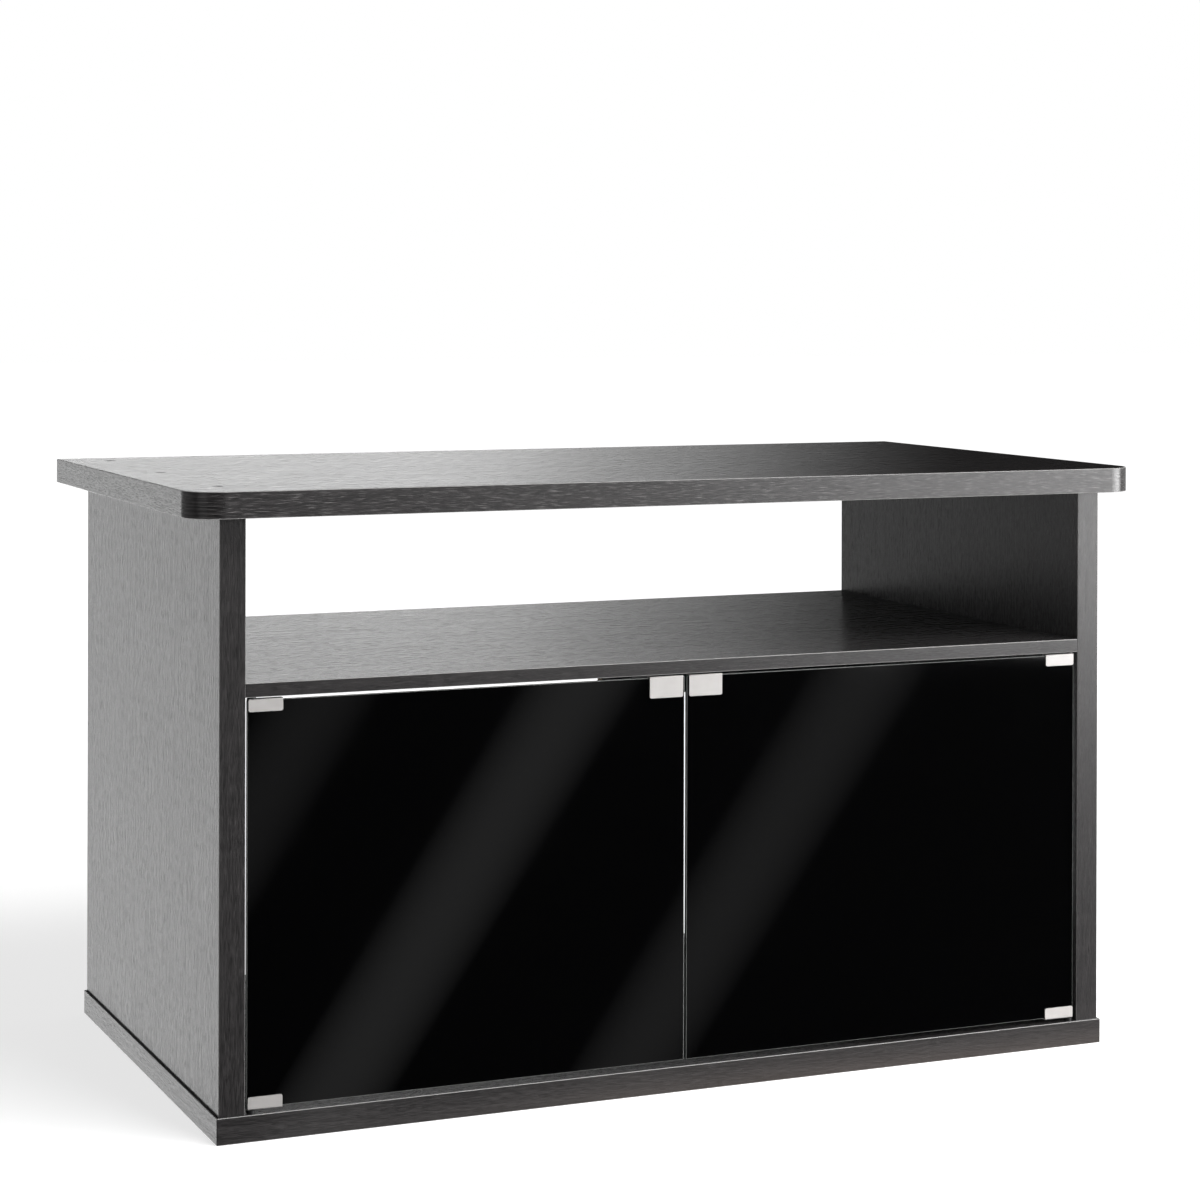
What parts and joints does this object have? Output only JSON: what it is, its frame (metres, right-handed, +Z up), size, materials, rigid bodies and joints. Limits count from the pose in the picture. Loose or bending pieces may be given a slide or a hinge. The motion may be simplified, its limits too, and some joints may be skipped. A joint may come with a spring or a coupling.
{
  "type": "terrarium cabinet",
  "caption": "Low cabinet for a terrarium: thick overhanging top, open bay, shelf, and a lower compartment closed by hinged black glass doors with a touch latch.",
  "frame": {"origin": "on the floor, under the middle of the bounding box", "axes": "+X to the right seen from the front, +Y to the back, +Z up"},
  "size_m": [1.22, 0.639, 0.72],
  "materials": {
    "laminate": "black stained oak laminate, fine open grain, satin",
    "laminate_edge": "edge band in the same stained oak, satin",
    "black_glass": "black lacquered safety glass, polished edges",
    "satin_metal": "satin brushed nickel plate",
    "zinc": "zinc plated fixings",
    "spring_steel": "bright spring wire",
    "magnet": "nickel plated magnet",
    "beech": "plain beech dowel",
    "black_plastic": "black moulded plastic",
    "grey_plastic": "dark grey moulded plastic",
    "liner": "thin soft liner"
  },
  "bodies": {
    "carcass": {"top_board": "laminate", "top_edging": "laminate_edge", "side_panel_left": "laminate", "side_panel_right": "laminate", "side_edging_left": "laminate_edge", "side_edging_right": "laminate_edge", "base_board": "laminate", "base_edging": "laminate_edge", "shelf": "laminate", "shelf_edging": "laminate_edge", "rear_rail": "laminate", "panel_dowels": "beech", "shelf_dowels": "beech", "rail_dowels": "beech", "top_screws": "zinc", "top_screw_caps": "black_plastic", "base_screws": "zinc", "cam_bolts": "zinc", "cam_locks": "zinc", "shelf_bushes": "black_plastic", "base_bushes": "black_plastic", "latch_housing": "grey_plastic", "latch_screws": "zinc", "latch_spring_left": "spring_steel", "latch_spring_right": "spring_steel"},
    "door_left": {"door_glass_left": "black_glass", "hinge_clip_top_left": "satin_metal", "hinge_clip_bottom_left": "satin_metal", "pivot_pins_left": "zinc", "clip_liners_left": "liner", "clamp_screws_left": "zinc", "striker_plate_left": "satin_metal", "striker_liner_left": "liner"},
    "door_right": {"door_glass_right": "black_glass", "hinge_clip_top_right": "satin_metal", "hinge_clip_bottom_right": "satin_metal", "pivot_pins_right": "zinc", "clip_liners_right": "liner", "clamp_screws_right": "zinc", "striker_plate_right": "satin_metal", "striker_liner_right": "liner"},
    "plunger_left": {"latch_plunger_left": "black_plastic", "latch_magnet_left": "magnet"},
    "plunger_right": {"latch_plunger_right": "black_plastic", "latch_magnet_right": "magnet"}
  },
  "joints": [
    {"name": "door_left_hinge", "type": "hinge", "parent": "carcass", "child": "door_left", "pos_m": [-0.5305, -0.285, 0.26], "axis": [0, 0, -1], "range_deg": [0, 105]},
    {"name": "door_right_hinge", "type": "hinge", "parent": "carcass", "child": "door_right", "pos_m": [0.5305, -0.285, 0.26], "axis": [0, 0, 1], "range_deg": [0, 105]},
    {"name": "plunger_left_slide", "type": "slide", "parent": "carcass", "child": "plunger_left", "axis": [0, -1, 0], "range_m": [0, 0.01], "deforming": ["latch_spring_left"]},
    {"name": "plunger_right_slide", "type": "slide", "parent": "carcass", "child": "plunger_right", "axis": [0, -1, 0], "range_m": [0, 0.01], "deforming": ["latch_spring_right"]}
  ],
  "couplings": [
    {"joint": "plunger_left_slide", "follows": "door_left_hinge", "m_per_rad": 0.00545},
    {"joint": "plunger_right_slide", "follows": "door_right_hinge", "m_per_rad": 0.00545}
  ]
}
